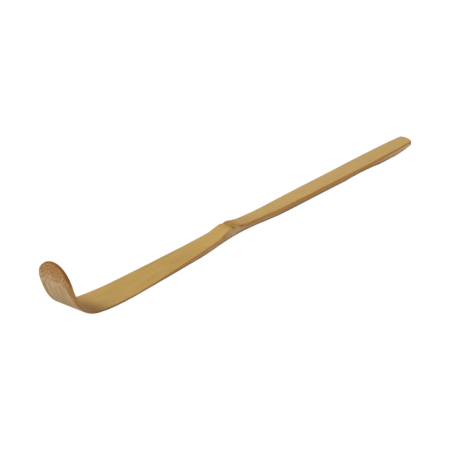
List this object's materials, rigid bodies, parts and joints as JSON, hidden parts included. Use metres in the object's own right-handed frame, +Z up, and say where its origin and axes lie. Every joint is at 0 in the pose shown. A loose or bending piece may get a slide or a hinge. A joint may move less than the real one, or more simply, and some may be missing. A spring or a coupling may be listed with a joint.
{
  "type": "tea scoop",
  "caption": "Slim carved bamboo tea scoop: a thin handle, a raised node, and a blade that flares into a bent-up rounded tip for lifting powdered tea.",
  "frame": {"origin": "centre of the scoop's box, on the surface that it rests on", "axes": "+X along the strip towards the tail of the handle, so the bent-up tip is at -X; +Y across the strip; +Z up out of the bamboo's skin side"},
  "size_m": [0.18, 0.0126, 0.0202],
  "materials": {
    "bamboo": "hand-carved smoked bamboo with a smooth satin skin"
  },
  "bodies": {
    "root": {"bamboo_scoop": "bamboo"}
  },
  "joints": []
}
